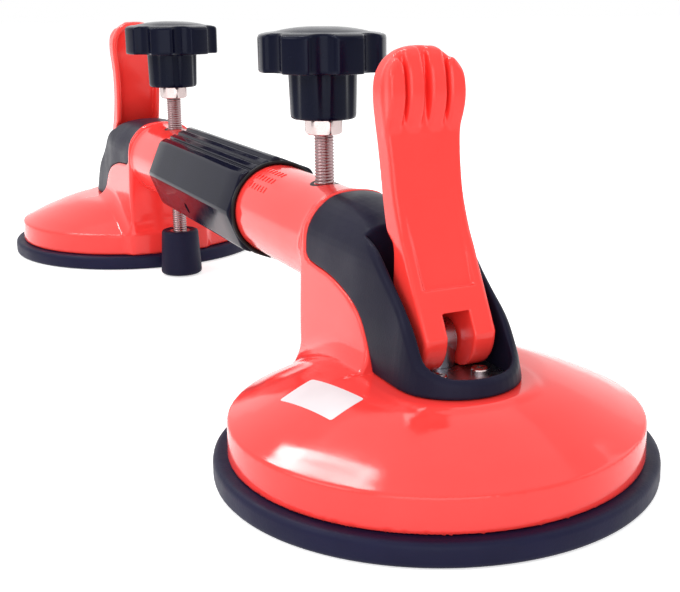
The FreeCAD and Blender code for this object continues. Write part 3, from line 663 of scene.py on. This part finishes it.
half_front = smooth_line([(13.2, 30), (13.2, 60), (13.1, 80), (13.2, 98), (13.6, 108),
                          (14.3, 116), (14.7, 123), (14.4, 128), (13.2, 131.9), (10.7, 135.6),
                          (7.2, 138.3), (3.6, 139.6), (0, LEVER_TOP)], 5)
lever_face = outline(half_front + [(-y, z) for y, z in reversed(half_front[:-1])])
ridge_line = smooth_line([(-9.2, 109.5), (-7.8, 114.0), (-6.4, 117.6), (-5.4, 121.5),
                          (-5.3, 126.0), (-6.2, 132.0), (-8.3, 137.0), (-10.6, 139.6),
                          (-12.0, 140.3)], 5)
ridge_side = outline(ridge_line + [(-12.5, LEVER_TOP), (-12.5, 109.5)])


def ridge(y, z, centre, top, half):
    """Upright bar with a round top."""
    return np.hypot(y - centre, np.maximum(z - (top - half), 0)) - half


def lever_field(x, y, z):
    """Lever with finger ridges, a sunk panel, a hollow back and a forked foot."""
    body = both(lever_shape(x, z), lever_face(y, z), 1.5)
    fx = np.interp(z.ravel(), face_z, face_x).reshape(z.shape)
    # four finger ridges, the outer two lower, running out below the grip
    first, second, third, fourth = [ridge(y, z, *each) for each in RIDGES]
    bars = np.minimum(np.minimum(first, second), np.minimum(third, fourth))
    bars = both(both(bars, lever_face(y, z) - 0.1, 1.2), ridge_side(x, z), 1.5)
    body = either(body, bars, 0.6)
    # panel that deepens towards its foot
    depth = PANEL_DEPTH * np.clip((PANEL_TOP - z) / 27.5, 0, 1) ** 1.6
    bed = fx - depth
    panel = both(np.abs(y) - PANEL_HALF + 0.6 * (fx - x), PANEL_LOW - z + 0.3 * (x - fx), 0.6)
    panel = np.maximum(panel, np.maximum(z - PANEL_TOP, bed - x))
    body = both(body, -panel, 0.4)
    # faint round witness mark
    body = np.maximum(body, -np.maximum(np.hypot(y, z - 105.6) - 5.2, (fx - 0.1) - x))
    # hollow back and fork
    hollow = np.maximum(hollow_shape(x, z), lever_face(y, z) + 2.6)
    hollow = np.maximum(hollow, 60.5 - z)
    body = both(body, -hollow, 0.6)
    slot = np.maximum(np.abs(y) - FORK_HALF, z - FORK_TOP)
    body = both(body, -slot, 0.5)
    return np.maximum(body, PIN_BORE - np.hypot(x, z - PIVOT_Z))


verts, faces = skin(lever_field, (-21, -17, 33), (19, 17, 143), FINE_STEP)
for side in SIDES:
    sided("lever_grip", side, verts, faces, RED_LEVER, "lever", ["cam_lever"])


# ------------------------------------------------------------ knobs
LOBES = 7
KNOB_TURN = radians(-23)
KNOB_R = 25.0
HUB_R = 13.5
INSERT_R = 4.05
INSERT_DEPTH = 24.0
hub_line = [(0, 0), (11.9, 0), (12.6, 0.4), (12.9, 1.4), (13.1, 8), (13.5, 22), (0, 22)]
hub_shape = outline(hub_line + [(-1, 22), (-1, 0)])
rim_line = smooth_line([(25.0, 31.2), (24.2, 32.3), (22.0, 33.0), (18.6, 33.4), (15.5, 34.1),
                        (11, 34.8), (6, 35.2), (0, 35.3)], 5)
rim_shape = outline([(-1, 18.2), (24.4, 18.2), (25.0, 18.8)] + rim_line + [(-1, 35.3)])


def knob_field(x, y, z):
    """Star knob: a scalloped rim on a fluted hub, with a blind hole for its insert."""
    r = np.hypot(x, y)
    a = np.arctan2(y, x) - KNOB_TURN
    step = 2 * pi / LOBES
    a = (a + step / 2) % step - step / 2
    u, v = r * np.cos(a), r * np.sin(a)
    scallop = 6.3 - np.hypot(u - 27.7, v)
    lobes = both(r - KNOB_R, scallop, 1.1)
    rim = both(lobes, rim_shape(r, z), 0.7)
    flute = 3.4 - np.hypot(u - 15.9, v)
    hub = both(np.maximum(r - HUB_R, hub_shape(r, z)), flute, 0.7)
    body = either(rim, hub, 1.0)
    return np.maximum(body, -np.maximum(r - INSERT_R, z - INSERT_DEPTH))


verts, faces = skin(knob_field, (-27, -27, -1.5), (27, 27, 37), FINE_STEP)
for side in SIDES:
    low, high = node_mm(side + "_star_knob")
    v = verts + np.array([-SCREW_X, 0, low[2]])
    sided("star_grip", side, v, faces, KNOB, "knob", ["star_knob"])


# ------------------------------------------------------------ rods, nuts and feet
def thread(low, high, r, pitch, depth, count=28):
    """Threaded bar with plain, bevelled ends."""
    rings_per_turn = 6
    rows = int(round((high - low) / pitch * rings_per_turn))
    verts = []
    for k in range(rows + 1):
        z = low + (high - low) * k / rows
        end = min(1.0, (z - low) / 1.5, (high - z) / 1.5)
        for i in range(count):
            a = 2 * pi * i / count
            phase = (z / pitch - i / count) % 1.0
            radius = r - 0.02 - depth * abs(2 * phase - 1) - 0.4 * (1 - end)
            verts.append((radius * cos(a), radius * sin(a), z))
    return np.array(verts), stacked(rows + 1, count, caps=True)


def hex_nut(across, height, bore):
    """Hexagon nut with turned bevels on both faces."""
    count = 72
    verts = []
    corner = across / 2 / cos(pi / 6)
    rows = [(0.0, 0.9), (0.35, 0.35), (1.0, 0.0), (height - 1.0, 0.0), (height - 0.35, 0.35),
            (height, 0.9)]
    for z, cut in rows:
        for i in range(count):
            a = 2 * pi * i / count
            flat = across / 2 / cos(a % (pi / 3) - pi / 6)
            r = min(flat, corner - 0.12 - cut * 1.25)
            verts.append((r * cos(a), r * sin(a), z))
    for z, r in ((height, bore + 0.7), (height - 0.6, bore), (0.6, bore), (0.0, bore + 0.7)):
        for i in range(count):
            a = 2 * pi * i / count
            verts.append((r * cos(a), r * sin(a), z))
    return np.array(verts), stacked(len(rows) + 4, count, closed=True)


ROD_R, PITCH, THREAD_DEPTH = 4.0, 1.25, 0.55
NUT_ACROSS, NUT_HIGH, NUT_BORE = 13.0, 6.2, 4.05
# half section of the foot from its sole to the socket of the rod
foot_line = [(3.9, 24.0), (6.6, 24.6), (8.9, 24.95), (9.7, 24.6), (10.15, 23.7), (10.2, 22.4),
             (11.3, 2.6), (11.35, 1.5), (11.0, 0.6), (10.2, 0.05), (8.6, 0.0), (7.6, 0.7),
             (0, 0.8)][::-1]
for side in SIDES:
    low, high = node_mm(side + "_levelling_rod")
    v, f = thread(low[2] + 2.4, high[2], ROD_R, PITCH, THREAD_DEPTH)
    button = [(0, low[2]), (5.6, low[2]), (5.95, low[2] + 0.5), (5.95, low[2] + 2.0),
              (5.6, low[2] + 2.5), (3.9, low[2] + 2.6)]
    bv, bf = lathe(button, 48)
    f = f + [tuple(i + len(v) for i in q) for q in bf]
    v = np.vstack([v, bv]) + np.array([-SCREW_X, 0, 0])
    sided("threaded_rod", side, v, f, ROD, "knob", ["levelling_rod"])
    low, high = node_mm(side + "_jam_nut")
    v, f = hex_nut(NUT_ACROSS, NUT_HIGH, NUT_BORE)
    v = v + np.array([-SCREW_X, 0, low[2]])
    sided("hex_nut", side, v, f, STEEL, "knob", ["jam_nut"], crease=28)
    low, high = node_mm(side + "_rubber_foot")
    v, f = lathe(foot_line, 96)
    v = v + np.array([-SCREW_X, 0, low[2]])
    sided("foot_boot", side, v, f, FOOT, "foot", ["rubber_foot"], crease=60)


# ------------------------------------------------------------ grip sleeve
SLEEVE_R = 23.6                 # over the eight corners
SLEEVE_BORE = 20.1              # slides over the right tube
NUT_SEAT_BORE = 16.1            # turns on the left tube's journal
GROOVE_DEPTH = 1.15
GROOVES = (-33, -20, -7, 7, 20, 33)     # degrees from the crown and from the underside
SLEEVE_CREASE = 38              # degrees; steeper edges stay sharp


def sleeve_section(count=720):
    """Octagon with soft corners and grooves along its crown and underside."""
    apothem = SLEEVE_R * cos(pi / 8)
    out = []
    for i in range(count):
        a = 2 * pi * i / count
        turn = a % (pi / 4) - pi / 8
        flat = apothem / cos(turn)
        corner = SLEEVE_R - 0.35
        r = -np.logaddexp(-flat * 9, -corner * 9) / 9
        for top in (pi / 2, 3 * pi / 2):
            offset = np.degrees((a - top + pi) % (2 * pi) - pi)
            if abs(offset) < 45:
                for g in GROOVES:
                    r -= GROOVE_DEPTH * np.exp(-((offset - g) / 2.3) ** 4)
        out.append((r * cos(a), r * sin(a)))
    return out


section = sleeve_section()
x0, x1 = sleeve_left, sleeve_right
verts = []
rows = [(x0, 0.93), (x0 + 0.25, 0.965), (x0 + 0.9, 0.993), (x0 + 1.8, 1.0)]
rows += [(x0 + (x1 - x0) * k / 8, 1.0) for k in range(1, 8)]
rows += [(x1 - 1.8, 1.0), (x1 - 0.9, 0.995), (x1 - 0.25, 0.98), (x1, 0.97)]
n = len(section)
for x, scale in rows:
    for y, z in section:
        verts.append((x, y * scale, TUBE_Z + z * scale))
bore = ((x1, SLEEVE_BORE - 0.15), (x1 - 0.5, SLEEVE_BORE), (x1 - 30, SLEEVE_BORE),
        (x0 + 40, SLEEVE_BORE), (x0 + 40, NUT_SEAT_BORE), (x0 + 0.4, NUT_SEAT_BORE),
        (x0, NUT_SEAT_BORE + 0.5))
for x, r in bore:
    for i in range(n):
        a = 2 * pi * i / n
        verts.append((x, r * cos(a), TUBE_Z + r * sin(a)))
faces = stacked(len(rows) + len(bore), n, closed=True)
grip = make_object("sleeve_grip", np.array(verts), faces, SLEEVE, crease=SLEEVE_CREASE)


def cut(obj, verts, faces, crease):
    """Takes the closed form out of the object's mesh, both with their faces outward."""
    tool = make_object("cutter", verts, faces, BLACK_AND_PAINTED_SHADE)
    for each in (obj, tool):
        form = bmesh.new()
        form.from_mesh(each.data)
        bmesh.ops.recalc_face_normals(form, faces=form.faces)
        form.to_mesh(each.data)
        form.free()
    trim = obj.modifiers.new("cut", "BOOLEAN")
    trim.operation = "DIFFERENCE"
    trim.solver = "EXACT"
    trim.object = tool
    graph = bpy.context.evaluated_depsgraph_get()
    mesh = bpy.data.meshes.new_from_object(obj.evaluated_get(graph))
    obj.modifiers.clear()
    obj.data = mesh
    mesh.set_sharp_from_angle(angle=radians(crease))
    bpy.data.objects.remove(tool)


# oval hole in the sleeve's lower front flat, with a black dish of painted shade on its floor
HOLE_X, HOLE_T, HOLE_ANGLE = -21.6, 1.8, radians(202.5)
HOLE_HALF_X, HOLE_HALF_T, HOLE_POINTS = 2.2, 2.8, 32
HOLE_FLOOR, HOLE_TOP = 20.5, 25.0
outward = np.array([0, cos(HOLE_ANGLE), sin(HOLE_ANGLE)])
across = np.array([0, -sin(HOLE_ANGLE), cos(HOLE_ANGLE)])
middle = np.array([HOLE_X, 0, TUBE_Z]) + HOLE_T * across


def oval_stack(levels):
    """Closed form from ovals of (distance from the tube's axis, share of the hole's size)."""
    verts = []
    for reach, grow in levels:
        for i in range(HOLE_POINTS):
            a = 2 * pi * i / HOLE_POINTS
            verts.append(middle + reach * outward
                         + np.array([HOLE_HALF_X * grow * cos(a), 0, 0])
                         + HOLE_HALF_T * grow * sin(a) * across)
    return np.array(verts), stacked(len(levels), HOLE_POINTS, caps=True)


cut(grip, *oval_stack(((HOLE_FLOOR, 1.0), (HOLE_TOP, 1.0))), SLEEVE_CREASE)
# black dish on the hole's floor: painted shade of the hole's depth
verts, faces = oval_stack(((HOLE_FLOOR + 0.02, 0.98), (HOLE_FLOOR + 0.12, 0.98),
                           (HOLE_FLOOR + 0.12, 0.8), (HOLE_FLOOR + 0.06, 0.55)))
port = make_object("sleeve_port", verts, faces, BLACK_AND_PAINTED_SHADE)
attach(port, "sleeve")
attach(grip, "sleeve")
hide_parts("grip_sleeve")


# dark end lip of the sleeve round the right tube
lip_line = [(SLEEVE_BORE, x1 - 2.0), (SLEEVE_BORE, x1 + 0.7), (20.35, x1 + 1.0),
            (21.2, x1 + 1.0), (21.6, x1 + 0.6), (21.7, x1 - 0.4), (21.0, x1 - 0.5)]
verts, faces = lathe(lip_line, 96, (0, TUBE_Z), "x")
lip = make_object("sleeve_lip", verts, faces, BLACK_AND_PAINTED_SHADE)
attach(lip, "sleeve")


# ------------------------------------------------------------ blank sticker on the near dome
STICKER_CENTRE = (1.6, -42.8)
STICKER_HALF_LONG, STICKER_HALF_WIDE = 14.2, 6.4
STICKER_CORNER = 1.0
STICKER_TURN = radians(12)
STICKER_CLEAR, STICKER_T = 0.05, 0.12


def sticker():
    """Thin white sheet with round corners that follows the dome."""
    dome_r = np.array([q[0] for q in dome_line])[::-1]
    dome_z = np.array([q[1] for q in dome_line])[::-1]
    cols, rows = 57, 27
    verts, faces = [], []
    for layer in (0.0, STICKER_T):
        for i in range(cols):
            for j in range(rows):
                u = STICKER_HALF_LONG * (2 * i / (cols - 1) - 1)
                v = STICKER_HALF_WIDE * (2 * j / (rows - 1) - 1)
                du = max(0.0, abs(u) - (STICKER_HALF_LONG - STICKER_CORNER))
                dv = max(0.0, abs(v) - (STICKER_HALF_WIDE - STICKER_CORNER))
                size = (du * du + dv * dv) ** 0.5
                if size > STICKER_CORNER:
                    pull = STICKER_CORNER / size
                    u = np.sign(u) * (STICKER_HALF_LONG - STICKER_CORNER + du * pull)
                    v = np.sign(v) * (STICKER_HALF_WIDE - STICKER_CORNER + dv * pull)
                x = STICKER_CENTRE[0] + u * cos(STICKER_TURN) - v * sin(STICKER_TURN)
                y = STICKER_CENTRE[1] + u * sin(STICKER_TURN) + v * cos(STICKER_TURN)
                z = np.interp(np.hypot(x, y), dome_r, dome_z) + STICKER_CLEAR + layer
                verts.append((x, y, z))
    n = cols * rows
    for i in range(cols - 1):
        for j in range(rows - 1):
            k = i * rows + j
            faces.append((n + k, n + k + rows, n + k + rows + 1, n + k + 1))
            faces.append((k + 1, k + rows + 1, k + rows, k))
    border = ([i * rows for i in range(cols)] + [(cols - 1) * rows + j for j in range(1, rows)]
              + [i * rows + rows - 1 for i in range(cols - 2, -1, -1)]
              + [j for j in range(rows - 2, 0, -1)])
    for a, b in zip(border, border[1:] + border[:1]):
        faces.append((a, b, n + b, n + a))
    sided("sticker", "right", verts, faces, LABEL, "head", crease=40)


sticker()


# ------------------------------------------------------------ return springs
WIRE_R = 0.9
SPRING_TURNS = 5


def coil(node, wire, turns, steps=48, around=12):
    """Coil spring in the place of the CAD one, with closed ends."""
    low, high = node_mm(node)
    mean = (high[1] - low[1]) / 2 - wire
    cx, cy = (low[0] + high[0]) / 2, (low[1] + high[1]) / 2
    start, rise = low[2] + wire, high[2] - low[2] - 2 * wire
    verts = []
    count = turns * steps + 1
    slope = rise / (turns * 2 * pi * mean)
    for k in range(count):
        a = 2 * pi * k / steps
        centre = np.array([cx + mean * cos(a), cy + mean * sin(a), start + rise * k / (count - 1)])
        out = np.array([cos(a), sin(a), 0.0])
        lift = np.array([slope * sin(a), -slope * cos(a), 1.0]) / (1 + slope * slope) ** 0.5
        for i in range(around):
            b = 2 * pi * i / around
            verts.append(centre + wire * (cos(b) * out + sin(b) * lift))
    return verts, stacked(count, around, caps=True)


for side in SIDES:
    node = side + "_return_spring"
    verts, faces = coil(node, WIRE_R, SPRING_TURNS)
    spring = make_object(side + "_coil", verts, faces, SPRING, 60)
    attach(spring, side + "_head")
    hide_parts(node)
    # the coil gets a mesh of its own
    low, high = node_mm(node)
    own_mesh(spring)


# ------------------------------------------------------------ finishes of the CAD nodes that stay
FINISH = {"wear_plate": ZINC, "shroud_screws": STEEL, "pull_stem": ZINC, "stem_plate": ZINC,
          "lever_pin": STEEL, "threaded_bush": BRASS,
          "knob_insert": BRASS, "foot_bush": ZINC, "drive_nut": NYLON, "retaining_ring": SPRING,
          "drive_screw": ZINC, "guide_bar": ZINC}
for node, obj in frame["nodes"].items():
    key = node.removeprefix("right_").removeprefix("left_")
    if key in FINISH:
        obj.data.materials.clear()
        obj.data.materials.append(FINISH[key])
        for polygon in obj.data.polygons:
            polygon.material_index = 0


# ------------------------------------------------------------ floor, light and camera
FLOOR_GLOW = 0.55
WORLD_LIGHT = 0.52


def seen_rays(nodes, links):
    """1 for the rays that show the surroundings directly, in metal or through glass."""
    path = nodes.new("ShaderNodeLightPath")
    total = path.outputs["Is Camera Ray"]
    for kind in ("Is Glossy Ray", "Is Transmission Ray"):
        add = nodes.new("ShaderNodeMath")
        add.operation = "MAXIMUM"
        links.new(total, add.inputs[0])
        links.new(path.outputs[kind], add.inputs[1])
        total = add.outputs[0]
    return total


def plain_white(name):
    """Pale floor that shows the object's shadow and is white to the camera."""
    mat = bpy.data.materials.new(name)
    mat.use_nodes = True
    nodes, links = mat.node_tree.nodes, mat.node_tree.links
    shader = nodes["Principled BSDF"]
    shader.inputs["Base Color"].default_value = (0.9, 0.9, 0.9, 1)
    shader.inputs["Roughness"].default_value = 0.8
    shader.inputs["Specular IOR Level"].default_value = 0.1
    level = nodes.new("ShaderNodeMath")
    level.operation = "MULTIPLY"
    level.inputs[1].default_value = FLOOR_GLOW
    links.new(seen_rays(nodes, links), level.inputs[0])
    glow = nodes.new("ShaderNodeEmission")
    glow.inputs["Color"].default_value = (1, 1, 1, 1)
    links.new(level.outputs[0], glow.inputs["Strength"])
    add = nodes.new("ShaderNodeAddShader")
    links.new(shader.outputs[0], add.inputs[0])
    links.new(glow.outputs[0], add.inputs[1])
    links.new(add.outputs[0], nodes["Material Output"].inputs["Surface"])
    return mat


bpy.ops.mesh.primitive_plane_add(size=12, location=(0, 0, -0.0002))
floor = bpy.context.object
floor.name = "floor"
floor.data.materials.append(plain_white("floor_white"))

world = bpy.data.worlds.new("studio")
bpy.context.scene.world = world
world.use_nodes = True
nodes, links = world.node_tree.nodes, world.node_tree.links
ground = nodes["Background"]
ground.inputs["Color"].default_value = (1, 1, 1, 1)
level = nodes.new("ShaderNodeMapRange")
level.inputs["To Min"].default_value = WORLD_LIGHT
level.inputs["To Max"].default_value = 1.0
links.new(seen_rays(nodes, links), level.inputs["Value"])
links.new(level.outputs["Result"], ground.inputs["Strength"])


def softbox(name, place, target, size, energy):
    """Soft rectangular lamp at place that faces the target; metres and watts."""
    light = bpy.data.lights.new(name, "AREA")
    light.shape = "RECTANGLE"
    light.size, light.size_y = size
    light.energy = energy
    obj = bpy.data.objects.new(name, light)
    bpy.context.scene.collection.objects.link(obj)
    obj.location = place
    obj.rotation_euler = (Vector(target) - Vector(place)).to_track_quat("-Z", "Y").to_euler()


softbox("key", (0.05, -1.3, 1.0), (0.12, 0, 0.03), (1.0, 0.7), 8)
softbox("top", (0, 0, 1.9), (0, 0, 0), (3.0, 3.0), 13)
softbox("back", (0.5, 1.6, 0.9), (0.15, 0, 0.05), (1.6, 0.9), 5)
softbox("streak", (-0.47, -0.25, 1.07), (0.222, -0.055, 0.028), (0.085, 0.72), 4)
softbox("front", (1.25, -0.6, 0.36), (0.2, 0, 0.06), (1.3, 0.8), 7)
softbox("rear", (-1.6, 1.0, 0.45), (0, 0, 0.1), (2.4, 0.7), 1.2)

CAMERA_PLACE = (0.50554, -0.17387, 0.15540)
yaw, pitch = radians(28.09), radians(12.69)
forward = Vector((-cos(yaw) * cos(pitch), sin(yaw) * cos(pitch), -sin(pitch)))
right = forward.cross(Vector((0, 0, 1))).normalized()
up = right.cross(forward)
camera_data = bpy.data.cameras.new("camera")
camera_data.sensor_width = 36
camera_data.lens = 58.97
camera_data.shift_x = -0.1103
camera_data.shift_y = -0.0742
camera_data.clip_start = 0.01
camera = bpy.data.objects.new("camera", camera_data)
bpy.context.scene.collection.objects.link(camera)
turn = Matrix((right, up, -forward)).transposed()
camera.matrix_world = Matrix.Translation(CAMERA_PLACE) @ turn.to_4x4()
bpy.context.scene.camera = camera
bpy.context.scene.view_settings.view_transform = "Standard"
